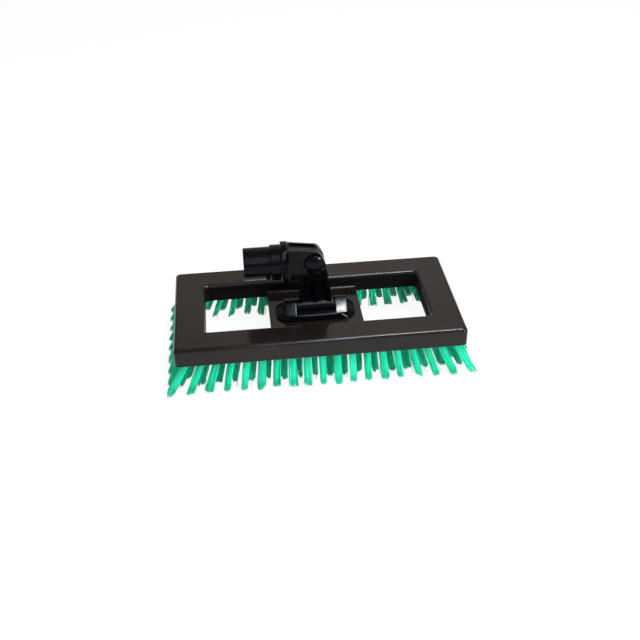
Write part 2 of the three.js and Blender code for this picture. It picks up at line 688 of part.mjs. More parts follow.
const blockPlastic = new THREE.MeshStandardMaterial({ color: 0x35322f, roughness: 0.42, metalness: 0 });
const hingePlastic = new THREE.MeshStandardMaterial({ color: 0x101114, roughness: 0.2, metalness: 0 });
const bristlePlastic = new THREE.MeshStandardMaterial({ color: 0x16bd88, roughness: 0.5, metalness: 0 });
const steel = new THREE.MeshStandardMaterial({ color: 0xb9bcc0, roughness: 0.35, metalness: 1 });

const brush = new THREE.Group();
brush.add(part('brush_block', blockSolid(), blockPlastic));
for (const [side, field] of Object.entries(backingFields())) {
  brush.add(part(`${side}_bristles`, bristleSolid(field), bristlePlastic));
}
brush.add(part('hinge_base', hingeBaseSolid(), hingePlastic));
brush.add(part('hinge_rod', barAlongX(ROD_RADIUS, ROD_HALF_LENGTH), steel));
screwPlaces().forEach((place, i) => {
  brush.add(part(`base_screw_${i + 1}`, screwSolid(place), steel));
});
brush.add(part('swivel_neck', neckSolid(), hingePlastic));
brush.add(part('pole_socket', socketSolid(), hingePlastic));
brush.add(part('swivel_pin', pinSolid(), hingePlastic));
brush.add(part('pin_retainer', retainerSolid(), hingePlastic));

export default brush;
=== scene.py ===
import math

import bmesh
import bpy
import numpy as np
from mathutils import Matrix, Vector


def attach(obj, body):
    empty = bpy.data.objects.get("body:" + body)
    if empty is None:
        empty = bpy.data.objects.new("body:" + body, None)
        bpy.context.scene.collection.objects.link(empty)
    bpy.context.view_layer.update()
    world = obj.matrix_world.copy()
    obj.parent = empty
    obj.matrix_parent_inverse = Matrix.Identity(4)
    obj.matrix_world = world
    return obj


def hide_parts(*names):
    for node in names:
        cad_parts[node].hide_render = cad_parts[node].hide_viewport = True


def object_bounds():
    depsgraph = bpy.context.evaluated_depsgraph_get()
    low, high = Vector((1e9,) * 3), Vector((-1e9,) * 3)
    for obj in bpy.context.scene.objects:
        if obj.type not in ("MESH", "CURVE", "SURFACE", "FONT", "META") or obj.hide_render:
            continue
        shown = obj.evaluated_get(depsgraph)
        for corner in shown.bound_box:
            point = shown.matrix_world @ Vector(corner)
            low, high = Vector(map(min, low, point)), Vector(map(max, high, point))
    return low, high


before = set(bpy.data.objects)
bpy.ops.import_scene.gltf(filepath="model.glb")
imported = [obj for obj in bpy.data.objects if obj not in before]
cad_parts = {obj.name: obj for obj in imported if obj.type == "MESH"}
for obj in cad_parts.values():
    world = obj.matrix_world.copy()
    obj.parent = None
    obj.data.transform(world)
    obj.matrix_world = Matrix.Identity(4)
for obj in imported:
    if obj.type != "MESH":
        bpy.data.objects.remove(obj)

cadBox = [list(map(float, corner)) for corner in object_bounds()]
scene = bpy.context.scene
scene.view_settings.view_transform = "Standard"
mm = 0.001
print("frame loaded, box", cadBox)


# Small tools

def tone(hexColour):
    # sRGB hex to linear: the standard curve on each channel
    channels = np.array([int(hexColour[i:i + 2], 16) for i in (1, 3, 5)]) / 255
    linear = np.where(channels <= 0.04045, channels / 12.92, ((channels + 0.055) / 1.055) ** 2.4)
    return (*linear.tolist(), 1.0)


def addNode(tree, kind, settings=None, inputs=None):
    # settings are the node's own properties, or a ramp's stops as (position, hex); inputs are values or links
    node = tree.nodes.new(kind)
    for name, value in (settings or {}).items():
        if name != "stops":
            setattr(node, name, value)
            continue
        elements = node.color_ramp.elements
        while len(elements) < len(value):
            elements.new(1.0)
        for element, (position, hexColour) in zip(elements, value):
            element.position = position
            element.color = tone(hexColour)
    for name, value in (inputs or {}).items():
        if isinstance(value, bpy.types.NodeSocket):
            tree.links.new(value, node.inputs[name])
        else:
            node.inputs[name].default_value = value
    return node


def newMaterial(name):
    material = bpy.data.materials.new(name)
    material.use_nodes = True
    material.node_tree.nodes.clear()
    return material, material.node_tree


def gridFaces(rows, cols, closeRows=False):
    # quads between neighbours on a grid whose columns wrap round, and whose rows may
    r = np.arange(rows if closeRows else rows - 1)[:, None]
    c = np.arange(cols)
    low, high = r * cols, (r + 1) % rows * cols
    return np.stack([low + c, low + (c + 1) % cols, high + (c + 1) % cols, high + c], -1).reshape(-1, 4)


def tube(grid, closeRows=False):
    # a grid of rings as a closed shell: rings joined end to end, or each end drawn in to its middle
    if not closeRows:
        first = np.broadcast_to(grid[0].mean(0), grid[0].shape)
        last = np.broadcast_to(grid[-1].mean(0), grid[-1].shape)
        grid = np.concatenate([first[None], grid, last[None]])
    return grid.reshape(-1, 3), gridFaces(grid.shape[0], grid.shape[1], closeRows)


def roundedLine(corners, radii, steps=8, support=0.3, closed=True):
    # a polyline with an arc in each corner, as the conic through both tangent points with weight sin(half angle),
    # and one more point on the straight beside each arc, which keeps the flats flat under smooth shading
    corners = np.asarray(corners, float)
    out = []
    for i, radius in enumerate(radii):
        here = corners[i]
        if radius == 0 or (not closed and i in (0, len(radii) - 1)):
            out.append(here[None])
            continue
        back = corners[i - 1] - here
        ahead = corners[(i + 1) % len(radii)] - here
        backLength, aheadLength = np.linalg.norm(back), np.linalg.norm(ahead)
        back, ahead = back / backLength, ahead / aheadLength
        half = math.acos(np.clip(back @ ahead, -1, 1)) / 2
        reach = min(radius / math.tan(half), 0.49 * backLength, 0.49 * aheadLength)
        t = np.linspace(0, 1, steps + 1)[:, None]
        weight = math.sin(half)
        start, end = here + back * reach, here + ahead * reach
        arc = (1 - t) ** 2 * start + 2 * t * (1 - t) * weight * here + t ** 2 * end
        arc = arc / ((1 - t) ** 2 + 2 * t * (1 - t) * weight + t ** 2)
        before = here + back * min(reach + support, 0.5 * backLength)
        after = here + ahead * min(reach + support, 0.5 * aheadLength)
        out.append(np.concatenate([before[None], arc, after[None]]))
    return np.concatenate(out)


def fineLine(points, step):
    # the same polyline with no stretch longer than the step
    along = np.concatenate([[0], np.cumsum(np.linalg.norm(np.diff(points, axis=0), axis=1))])
    stations = np.unique(np.concatenate([along, np.arange(0, along[-1], step)]).round(6))
    return np.stack([np.interp(stations, along, points[:, k]) for k in range(points.shape[1])], -1)


def bezier(handles, steps):
    # points of a quadratic or cubic curve: handles weighted by the Bernstein terms
    t = np.linspace(0, 1, steps)[:, None]
    degree = len(handles) - 1
    return sum(math.comb(degree, k) * t ** k * (1 - t) ** (degree - k) * np.array(handle, float)
               for k, handle in enumerate(handles))


def softMin(a, b, width):
    # the smaller of two, eased over the width where they are near each other
    h = np.clip(0.5 + 0.5 * (b - a) / width, 0, 1)
    return b * (1 - h) + a * h - width * h * (1 - h)


def roundedRect(halfX, halfY, radius, steps=12):
    # rounded rectangles, one row for each entry of the half sizes: quarter arcs about the four corner centres
    halfX, halfY, radius = (np.asarray(v, float).reshape(-1, 1) for v in np.broadcast_arrays(halfX, halfY, radius))
    angle = np.linspace(0, math.pi / 2, steps + 1) + np.arange(4)[:, None] * math.pi / 2
    sideX = np.repeat([1, -1, -1, 1], steps + 1)
    sideY = np.repeat([1, 1, -1, -1], steps + 1)
    angle = angle.reshape(-1)
    return sideX * (halfX - radius) + radius * np.cos(angle), sideY * (halfY - radius) + radius * np.sin(angle)


def discStack(x, y, levels, steps=48):
    # rings of (radius, height) about an upright axis
    turn = np.linspace(0, 2 * math.pi, steps, endpoint=False)
    radius, height = np.asarray(levels, float).T
    return tube(np.stack([x + radius[:, None] * np.cos(turn), y + radius[:, None] * np.sin(turn),
                          np.broadcast_to(height[:, None], (len(radius), steps))], -1))


def barAlongX(radius, fromX, toX, height, steps=96):
    # a round bar as two rings
    turn = np.linspace(0, 2 * math.pi, steps, endpoint=False)
    ring = np.stack([radius * np.cos(turn), height + radius * np.sin(turn)], -1)
    return tube(np.stack([np.concatenate([np.full((steps, 1), x), ring], 1) for x in (fromX, toX)]))


def barAlongY(radius, fromY, toY, height, steps=96):
    # the same across the object
    points, faces = barAlongX(radius, fromY, toY, height, steps)
    return points[:, [1, 0, 2]], faces


def newMesh(name, shells):
    counts = np.cumsum([0] + [len(points) for points, faces in shells])
    points = np.concatenate([points for points, faces in shells]) * mm
    faces = [face for start, (p, quads) in zip(counts, shells) for face in (quads + start).tolist()]
    mesh = bpy.data.meshes.new(name)
    mesh.from_pydata(points.tolist(), [], faces)
    work = bmesh.new()
    work.from_mesh(mesh)
    bmesh.ops.remove_doubles(work, verts=work.verts, dist=1e-7)
    bmesh.ops.dissolve_degenerate(work, edges=work.edges, dist=1e-8)
    bmesh.ops.recalc_face_normals(work, faces=work.faces)
    work.to_mesh(mesh)
    work.free()
    return mesh


def combine(name, mesh, **steps):
    # exact booleans on closed shells: each step's name is the operation and its meshes the tools
    whole = bpy.data.objects.new(name, mesh)
    scene.collection.objects.link(whole)
    tools = []
    for operation, meshes in steps.items():
        for other in meshes:
            tool = bpy.data.objects.new("tool", other)
            scene.collection.objects.link(tool)
            tools.append(tool)
            cut = whole.modifiers.new(operation, "BOOLEAN")
            cut.operation, cut.solver, cut.object = operation, "EXACT", tool
    result = bpy.data.meshes.new_from_object(whole.evaluated_get(bpy.context.evaluated_depsgraph_get()))
    for used in [whole, *tools]:
        bpy.data.objects.remove(used)
    return result


def makePiece(name, mesh, material, body, slotName, *nodes, sharpAngle=35):
    piece = bpy.data.objects.new(name, mesh)
    scene.collection.objects.link(piece)
    mesh.shade_smooth()
    mesh.set_sharp_from_angle(angle=math.radians(sharpAngle))
    mesh.materials.clear()
    mesh.materials.append(material)
    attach(piece, body)
    if nodes:
        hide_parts(*nodes)
    print("made", name, len(mesh.polygons), "faces")
    return piece


# Camera

cameraView = {
    "azimuth": -5.369,  # degrees from straight in front
    "elevation": 34.318,
    "roll": -1.259,
    "focalPixels": 945.64,  # of a 640 pixel frame
    "distance": 787.33,
    "aim": (-2.271, -69.266, 70.5),
}


def addCamera():
    a, e, r = (math.radians(cameraView[k]) for k in ("azimuth", "elevation", "roll"))
    back = Vector((math.sin(a) * math.cos(e), -math.cos(a) * math.cos(e), math.sin(e)))
    right = (-back).cross(Vector((0, 0, 1))).normalized()
    up = right.cross(-back)
    rolledRight = right * math.cos(r) + up * math.sin(r)
    rolledUp = up * math.cos(r) - right * math.sin(r)
    data = bpy.data.cameras.new("photoCamera")
    data.sensor_width = 36
    data.lens = cameraView["focalPixels"] / 640 * 36
    data.clip_start, data.clip_end = 0.01, 50
    camera = bpy.data.objects.new("photoCamera", data)
    place = (Vector(cameraView["aim"]) + back * cameraView["distance"]) * mm
    camera.matrix_world = Matrix.Translation(place) @ Matrix((rolledRight, rolledUp, back)).transposed().to_4x4()
    scene.collection.objects.link(camera)
    scene.camera = camera


addCamera()
print("camera set")


# Stage: white floor, a pale room that is dim overhead and in front, and soft boxes

stageSet = {
    "floorRadius": 6.0,  # metres
    "floorGlow": 0.92,
    "roomAmbient": 0.30,
    "backPanel": (0.25, 0.42),  # strength to the left and to the right
    "panelSides": (-0.38, -0.22, 0.19, 0.33),  # where it fades in and out, as the direction's X
    "panelHeight": (0.28, 0.44, 0.74, 0.92),  # the same up and down
    "horizon": (1.0, 0.13, 0.24),  # strength, and where it fades as the direction's Z
    "softBoxes": [  # name, direction from the object, of the long side, distance m, size m, radiance, colour, mirrored
        ("frontBox", (-0.012, -0.53, 0.85), (1, 0, 0), 1.3, (0.115, 0.72), 2.0, "#d5e2ff", True),
        ("socketBox", (-0.033, -0.804, 0.595), (1, 0, 0), 1.3, (0.075, 0.29), 2.2, "#d5e2ff", True),
        ("innerBox", (0.0885, -0.43, 0.90), (1, 0, 0), 1.3, (0.14, 1.02), 7.0, "#cfe2fa", True),
        ("overheadBox", (0.36, 0.16, 1.00), (1, 0, 0), 1.25, (0.62, 0.92), 4.2, "#eaf0ff", True),
        ("keyLamp", (0.1203, -0.225, 0.9669), (1, 0.2, 0), 1.213, (0.06, 0.015), 230.0, "#fffafa", True),
        ("edgeLamp", (0.262, -0.175, 1.00), (1, 0, 0), 1.22, (0.24, 0.13), 64.0, "#f2f5ff", True),
        ("rightLamp", (0.55, -0.66, 0.48), (-0.43, -0.28, 0.62), 1.2, (0.36, 0.24), 34.0, "#ffffff", True),
        ("lowLamp", (0.67, -0.69, 0.285), (-0.555, -0.285, 0.625), 1.2, (0.56, 0.16), 6.0, "#ffffff", False),
        ("leftLamp", (-0.85, -0.38, 0.36), (0, 0, 1), 1.3, (0.10, 0.10), 34.0, "#ffffff", False),
    ],
}


def addFloor():
    material, tree = newMaterial("paintedFloor")
    path = addNode(tree, "ShaderNodeLightPath")
    seen = addNode(tree, "ShaderNodeMath", {"operation": "MAXIMUM"},
                   {0: path.outputs["Is Camera Ray"], 1: path.outputs["Is Glossy Ray"]})
    seen = addNode(tree, "ShaderNodeMath", {"operation": "MAXIMUM"},
                   {0: seen.outputs[0], 1: path.outputs["Is Transmission Ray"]})
    matt = addNode(tree, "ShaderNodeBsdfDiffuse", None, {"Color": tone("#f0f0f0")})
    shade = addNode(tree, "ShaderNodeBsdfDiffuse", None, {"Color": tone("#5a5a5a")})  # keeps a faint shadow
    glow = addNode(tree, "ShaderNodeEmission", None, {"Color": tone("#ffffff"), "Strength": stageSet["floorGlow"]})
    pale = addNode(tree, "ShaderNodeAddShader", None, {0: shade.outputs[0], 1: glow.outputs[0]})
    mix = addNode(tree, "ShaderNodeMixShader", None, {0: seen.outputs[0], 1: matt.outputs[0], 2: pale.outputs[0]})
    addNode(tree, "ShaderNodeOutputMaterial", None, {"Surface": mix.outputs[0]})
    turn = np.linspace(0, 2 * math.pi, 64, endpoint=False)
    rim = np.stack([np.cos(turn), np.sin(turn), 0 * turn], -1) * stageSet["floorRadius"]
    mesh = bpy.data.meshes.new("floor")
    mesh.from_pydata(rim.tolist(), [], [list(range(64))])
    mesh.materials.append(material)
    floor = bpy.data.objects.new("floor", mesh)
    scene.collection.objects.link(floor)


def addRoom():
    # a dim room with a soft panel behind that is brighter to the right, and a white horizon
    world = bpy.data.worlds.new("paleRoom")
    world.use_nodes = True
    world.node_tree.nodes.clear()
    scene.world = world
    tree = world.node_tree
    direction = addNode(tree, "ShaderNodeTexCoord")
    way = addNode(tree, "ShaderNodeSeparateXYZ", None, {0: direction.outputs["Generated"]})
    smooth = {"interpolation_type": "SMOOTHSTEP"}
    left, leftFull, rightFull, right = stageSet["panelSides"]
    low, lowFull, highFull, high = stageSet["panelHeight"]
    dim, bright = stageSet["backPanel"]
    fades = [("Y", 0.0, 0.3, 0.0, 1.0), ("X", left, leftFull, 0.0, 1.0), ("X", rightFull, right, 1.0, 0.0),
             ("Z", low, lowFull, 0.0, 1.0), ("Z", highFull, high, 1.0, 0.0)]
    panel = addNode(tree, "ShaderNodeMapRange", smooth, {0: way.outputs["X"], 1: -0.1, 2: 0.15, 3: dim, 4: bright})
    for axis, fromHere, toHere, before, after in fades:
        fade = addNode(tree, "ShaderNodeMapRange", smooth,
                       {0: way.outputs[axis], 1: fromHere, 2: toHere, 3: before, 4: after})
        panel = addNode(tree, "ShaderNodeMath", {"operation": "MULTIPLY"}, {0: panel.outputs[0], 1: fade.outputs[0]})
    room = addNode(tree, "ShaderNodeMath", {"operation": "ADD"}, {0: panel.outputs[0], 1: stageSet["roomAmbient"]})
    strength, fadeStart, fadeEnd = stageSet["horizon"]
    horizon = addNode(tree, "ShaderNodeMapRange", smooth,
                      {0: way.outputs["Z"], 1: fadeStart, 2: fadeEnd, 3: strength, 4: 0.0})
    level = addNode(tree, "ShaderNodeMath", {"operation": "MAXIMUM"}, {0: room.outputs[0], 1: horizon.outputs[0]})
    tint = addNode(tree, "ShaderNodeMix", {"data_type": "RGBA"},
                   {0: horizon.outputs[0], 6: tone("#fff7f0"), 7: tone("#ffffff")})
    sky = addNode(tree, "ShaderNodeBackground", None, {"Color": tint.outputs[2], "Strength": level.outputs[0]})
    addNode(tree, "ShaderNodeOutputWorld", None, {"Surface": sky.outputs[0]})


def addLamps():
    for name, direction, along, distance, size, radiance, colour, mirrored in stageSet["softBoxes"]:
        lamp = bpy.data.lights.new(name, "AREA")
        lamp.shape = "RECTANGLE"
        lamp.size, lamp.size_y = size
        lamp.energy = radiance * math.pi * size[0] * size[1]
        lamp.color = tone(colour)[:3]
        box = bpy.data.objects.new(name, lamp)
        box.visible_glossy = mirrored
        way = Vector(direction).normalized()
        across = way.cross(Vector(along)).normalized()
        turned = Matrix((across.cross(way), across, way)).transposed().to_4x4()
        box.matrix_world = Matrix.Translation(way * distance + Vector((0, 0, 0.06))) @ turned
        scene.collection.objects.link(box)


addFloor()
addRoom()
addLamps()
print("stage set")


# Materials

def mouldedPolypropylene():
    # black polypropylene from a polished mould: deep brown-black with a clear gloss, an orange peel about 2 mm
    # across, slow mottling where the melt cooled unevenly, and hair scratches
    material, tree = newMaterial("mouldedPolypropylene")
    place = addNode(tree, "ShaderNodeTexCoord")
    slow = addNode(tree, "ShaderNodeTexNoise", None,
                   {"Vector": place.outputs["Object"], "Scale": 1000 / 38, "Detail": 4.0, "Roughness": 0.55})
    peel = addNode(tree, "ShaderNodeTexNoise", None,
                   {"Vector": place.outputs["Object"], "Scale": 1000 / 2.0, "Detail": 2.0, "Roughness": 0.5})
    drawn = addNode(tree, "ShaderNodeMapping", None,
                    {"Vector": place.outputs["Object"], "Rotation": (0, 0, 0.35), "Scale": (1.0, 24.0, 24.0)})
    hairs = addNode(tree, "ShaderNodeTexNoise", None,  # hairs 1 mm apart, wider than real ones so that they show
                    {"Vector": drawn.outputs[0], "Scale": 1000 / 24.0, "Detail": 2.0, "Roughness": 0.6})
    scratch = addNode(tree, "ShaderNodeMapRange", None, {0: hairs.outputs[0], 1: 0.62, 2: 0.74, 3: 0.0, 4: 0.09})
    colour = addNode(tree, "ShaderNodeValToRGB", {"stops": [(0.3, "#130f0d"), (0.7, "#191614")]},
                     {0: slow.outputs[0]})
    gloss = addNode(tree, "ShaderNodeMapRange", None, {0: slow.outputs[0], 1: 0.3, 2: 0.7, 3: 0.10, 4: 0.17})
    worn = addNode(tree, "ShaderNodeMath", {"operation": "ADD"}, {0: gloss.outputs[0], 1: scratch.outputs[0]})
    bump = addNode(tree, "ShaderNodeBump", None, {"Height": peel.outputs[0], "Strength": 0.05, "Distance": 0.0004})
    skin = addNode(tree, "ShaderNodeBsdfPrincipled", None, {
        "Base Color": colour.outputs[0], "Roughness": worn.outputs[0], "Normal": bump.outputs[0],
        "IOR": 1.49, "Specular IOR Level": 0.3})
    addNode(tree, "ShaderNodeOutputMaterial", None, {"Surface": skin.outputs[0]})
    return material


def shadedWallPolypropylene():
    # the same polypropylene on the opening's walls: nearly black and dull, with their reflection damped, which is
    # painted shade for the shadow inside the opening; a fine grit bump, drawn 0.8 mm across so that it shows
    material, tree = newMaterial("shadedWallPolypropylene")
    place = addNode(tree, "ShaderNodeTexCoord")
    grit = addNode(tree, "ShaderNodeTexNoise", None,
                   {"Vector": place.outputs["Object"], "Scale": 1000 / 0.8, "Detail": 2.0, "Roughness": 0.6})
    cloud = addNode(tree, "ShaderNodeTexNoise", None,
                    {"Vector": place.outputs["Object"], "Scale": 1000 / 14, "Detail": 3.0, "Roughness": 0.5})
    # painted shade: the walls' colour is darker than the rest of the moulding's
    colour = addNode(tree, "ShaderNodeValToRGB", {"stops": [(0.3, "#070707"), (0.7, "#0c0b0b")]},
                     {0: cloud.outputs[0]})
    gloss = addNode(tree, "ShaderNodeMapRange", None, {0: cloud.outputs[0], 1: 0.3, 2: 0.7, 3: 0.78, 4: 0.92})
    bump = addNode(tree, "ShaderNodeBump", None, {"Height": grit.outputs[0], "Strength": 0.12, "Distance": 0.0003})
    skin = addNode(tree, "ShaderNodeBsdfPrincipled", None, {
        "Base Color": colour.outputs[0], "Roughness": gloss.outputs[0], "Normal": bump.outputs[0],
        "IOR": 1.49, "Specular IOR Level": 0.08})
    addNode(tree, "ShaderNodeOutputMaterial", None, {"Surface": skin.outputs[0]})
    return material


def polishedNylon():
    # glass-smooth moulded nylon: blue-black with sharp reflections that waver over sink marks about 9 mm apart,
    # and a faint haze of handling
    material, tree = newMaterial("polishedNylon")
    place = addNode(tree, "ShaderNodeTexCoord")
    sink = addNode(tree, "ShaderNodeTexNoise", None,
                   {"Vector": place.outputs["Object"], "Scale": 1000 / 9, "Detail": 1.0, "Roughness": 0.4})
    haze = addNode(tree, "ShaderNodeTexNoise", None,
                   {"Vector": place.outputs["Object"], "Scale": 1000 / 3.0, "Detail": 5.0, "Roughness": 0.6})
    colour = addNode(tree, "ShaderNodeValToRGB", {"stops": [(0.3, "#040405"), (0.75, "#08090b")]},
                     {0: haze.outputs[0]})
    gloss = addNode(tree, "ShaderNodeMapRange", None, {0: haze.outputs[0], 1: 0.3, 2: 0.8, 3: 0.05, 4: 0.12})
    bump = addNode(tree, "ShaderNodeBump", None, {"Height": sink.outputs[0], "Strength": 0.035, "Distance": 0.0005})
    skin = addNode(tree, "ShaderNodeBsdfPrincipled", None, {
        "Base Color": colour.outputs[0], "Roughness": gloss.outputs[0], "Normal": bump.outputs[0],
        "IOR": 1.52, "Specular IOR Level": 0.11})
    addNode(tree, "ShaderNodeOutputMaterial", None, {"Surface": skin.outputs[0]})
    return material


def extrudedFilament():
    # extruded nylon filament: clear sea green that differs from strand to strand and along each strand,
    # waxy sides, paler cut ends
    material, tree = newMaterial("extrudedFilament")
    strand = addNode(tree, "ShaderNodeAttribute", {"attribute_name": "strandTone"})
    along = addNode(tree, "ShaderNodeAttribute", {"attribute_name": "along"})
    place = addNode(tree, "ShaderNodeTexCoord")
    streak = addNode(tree, "ShaderNodeTexNoise", None,
                     {"Vector": place.outputs["Object"], "Scale": 1000 / 4.0, "Detail": 3.0})
    body = addNode(tree, "ShaderNodeValToRGB",
                   {"stops": [(0.0, "#10d4a0"), (0.5, "#1ee6b5"), (1.0, "#48f2cb")]}, {0: strand.outputs["Fac"]})
    cut = addNode(tree, "ShaderNodeMapRange", None, {0: along.outputs["Fac"], 1: 0.93, 2: 1.0, 3: 0.0, 4: 0.35})
    colour = addNode(tree, "ShaderNodeMix", {"data_type": "RGBA"},
                     {0: cut.outputs[0], 6: body.outputs[0], 7: tone("#9cf6de")})
    gloss = addNode(tree, "ShaderNodeMapRange", None, {0: streak.outputs[0], 1: 0.3, 2: 0.7, 3: 0.34, 4: 0.5})
    skin = addNode(tree, "ShaderNodeBsdfPrincipled", None, {
        "Base Color": colour.outputs[2], "Roughness": gloss.outputs[0], "IOR": 1.53, "Specular IOR Level": 0.25})
    addNode(tree, "ShaderNodeOutputMaterial", None, {"Surface": skin.outputs[0]})
    return material


def zincPlatedSteel():
    # turned steel with bright zinc: pale metal with fine tool rings about 0.3 mm apart and cloudy plating
    material, tree = newMaterial("zincPlatedSteel")
    place = addNode(tree, "ShaderNodeTexCoord")
    cloud = addNode(tree, "ShaderNodeTexNoise", None,
                    {"Vector": place.outputs["Object"], "Scale": 1000 / 2.5, "Detail": 4.0})
    rings = addNode(tree, "ShaderNodeTexWave", {"wave_type": "RINGS", "rings_direction": "X"},
                    {"Vector": place.outputs["Object"], "Scale": 1000 / 0.3 / 20, "Distortion": 1.5})
    colour = addNode(tree, "ShaderNodeValToRGB", {"stops": [(0.3, "#a9abad"), (0.7, "#c6c7c6")]},
                     {0: cloud.outputs[0]})
    gloss = addNode(tree, "ShaderNodeMapRange", None, {0: cloud.outputs[0], 1: 0.3, 2: 0.7, 3: 0.24, 4: 0.4})
    bump = addNode(tree, "ShaderNodeBump", None, {"Height": rings.outputs["Fac"], "Strength": 0.1, "Distance": 0.0001})
    skin = addNode(tree, "ShaderNodeBsdfPrincipled", None, {
        "Base Color": colour.outputs[0], "Roughness": gloss.outputs[0], "Metallic": 1.0, "Normal": bump.outputs[0]})
    addNode(tree, "ShaderNodeOutputMaterial", None, {"Surface": skin.outputs[0]})
    return material


blockSkin = mouldedPolypropylene()
shadedWallSkin = shadedWallPolypropylene()
hingeSkin = polishedNylon()
bristleSkin = extrudedFilament()
steelSkin = zincPlatedSteel()
print("materials ready")


# Brush block: frame and bridge

blockForm = {
    "halfLength": 127.0,
    "halfWidth": 64.0,
    "bottom": 28.5,
    "top": 45.5,
    "rail": 27.0,
    "outerCorner": 3.4,
    "openingCorner": 5.0,
    "topRound": 3.4,
    "rimRound": 3.0,
    "footRound": 0.8,
    "bridgeHalf": 42.0,
    "bridgeTop": 33.5,
    "bridgeFillet": 2.4,
    "bridgeEdge": 0.6,
    "barrelRecess": 7.8,
    "recessHalf": 17.38,  # a hair short of the ears, so that no two cut faces coincide
    "pivot": 40.0,
    "screwX": 23.0,
    "screwY": 9.0,
    "counterbore": (4.0, 31.3),  # radius and height of its end
    "screwHole": (2.3, 41.3),
    "shadedBelow": 42.7,  # height under which the opening's walls get the painted shade
}


def frameShell():
    # the rail's section, as inset from the outside and height, carried round a rounded rectangle
    f = blockForm
    section = roundedLine(
        [(0, f["bottom"]), (0, f["top"]), (f["rail"], f["top"]), (f["rail"], f["bottom"])],
        [f["footRound"], f["topRound"], f["rimRound"], f["footRound"]], steps=14)
    inset, height = section.T
    corner = f["outerCorner"] + (f["openingCorner"] - f["outerCorner"]) * inset / f["rail"]
    x, y = roundedRect(f["halfLength"] - inset, f["halfWidth"] - inset, corner, 16)
    return tube(np.stack([x, y, np.broadcast_to(height[:, None], x.shape)], -1), closeRows=True)


def bridgeShell():
    # a flat bar's section carried from the front wall to the rear: its top climbs both walls on a quarter circle
    f = blockForm
    wall = f["halfWidth"] - f["rail"]
    foot = wall - f["bridgeFillet"]
    half = np.unique(np.concatenate([
        np.linspace(0, foot, 12), foot + f["bridgeFillet"] * np.sin(np.linspace(0, 1.5, 16)),
        [wall + 0.8, wall + 1.2]]))
    y = np.concatenate([-half[:0:-1], half])
    climb = np.clip(np.abs(y) - foot, 0, f["bridgeFillet"])
    top = f["bridgeTop"] + f["bridgeFillet"] - np.sqrt(f["bridgeFillet"] ** 2 - climb ** 2)
    under = np.where(np.abs(y) > wall + 1, f["bottom"] + 0.5, f["bottom"])
    b, n = f["bridgeHalf"], f["bridgeEdge"]
    arc = np.linspace(0, math.pi / 2, 7)
    x = np.concatenate([b - n + n * np.sin(arc), b - n + n * np.cos(arc), [b - n - 0.3, n + 0.3 - b],
                        n - b - n * np.sin(arc), n - b - n * np.cos(arc)])
    onTop = np.repeat([0, 1, 1, 1, 0], [7, 7, 2, 7, 7])
    edge = np.concatenate([n - n * np.cos(arc), n * np.sin(arc) - n, np.zeros(2), n * np.cos(arc) - n,
                           n - n * np.sin(arc)])
    z = under[:, None] * (1 - onTop) + top[:, None] * onTop + edge
    return tube(np.stack([np.broadcast_to(x, z.shape), np.broadcast_to(y[:, None], z.shape), z], -1))


def screwPlaces():
    return [(sx * blockForm["screwX"], sy * blockForm["screwY"]) for sy in (-1, 1) for sx in (-1, 1)]


def screwHoles():
    f = blockForm
    bore, hole = f["counterbore"], f["screwHole"]
    levels = [(bore[0], f["bottom"] - 1), (bore[0], bore[1]), (hole[0], bore[1]), (hole[0], hole[1])]
    return newMesh("screwHoles", [discStack(x, y, levels) for x, y in screwPlaces()])


def barrelRecess():
    f = blockForm
    return newMesh("barrelRecess", [barAlongX(f["barrelRecess"], -f["recessHalf"], f["recessHalf"], f["pivot"])])


def shadeOpeningWalls(mesh):
    # faces on the opening's four walls and in its corners get the second material, which paints shade on them
    f = blockForm
    middle = np.empty(len(mesh.polygons) * 3)
    mesh.polygons.foreach_get("center", middle)
    x, y, z = np.abs(middle.reshape(-1, 3).T) / mm
    wallX, wallY = f["halfLength"] - f["rail"], f["halfWidth"] - f["rail"]
    inside = (x < wallX + 0.4) & (y < wallY + 0.4) & (z < f["shadedBelow"])
    beside = (x > wallX - f["openingCorner"] - 0.1) | (y > wallY - 0.05)
    mesh.materials.append(shadedWallSkin)
    mesh.polygons.foreach_set("material_index", (inside & beside).astype(np.int32))


def makeBlock():
    bridge = newMesh("bridge", [bridgeShell()])
    mesh = combine("blockMoulding", newMesh("rails", [frameShell()]),
                   UNION=[bridge], DIFFERENCE=[barrelRecess(), screwHoles()])
    makePiece("blockMoulding", mesh, blockSkin, "head", "block_plastic", "brush_block")
    # painted shade on the opening's walls
    shadeOpeningWalls(mesh)


makeBlock()


# Bristles

tuftForm = {
    "rootHeight": 28.5,
    "rootDepth": 1.0,
    "rowPitch": 13.0,
    "rowTufts": 19,
    "outerRow": 57.0,
    "innerRow": 46.0,
    "columnPitch": 14.6,
    "columnTufts": 7,
    "outerColumn": 120.5,
    "innerColumn": 107.5,
    "rowLean": 17.0,  # reach of a tuft at the place below, which shrinks towards the middle by the power
    "columnLean": 12.5,
    "leanAt": 118.0,
    "leanPower": 2.2,
    "leanY": 0.145,
    "strands": 96,
    "tuftRadius": 3.3,
    "strandRadius": 0.3,
    "spread": (0.80, 1.12),
    "clumps": 5,
    "clumpDrift": 0.5,
    "tipJitter": 0.26,
    "tuftJitter": 0.6,
    "cutJitter": 0.8,
    "clumpCut": 0.55,
    "cutSlant": 0.26,
    "strayShare": 0.02,
    "strayReach": 2.6,
    "edgeMargin": 0.4,
    "seed": 11,
}


def evenLine(count, pitch):
    return (np.arange(count) - (count - 1) / 2) * pitch


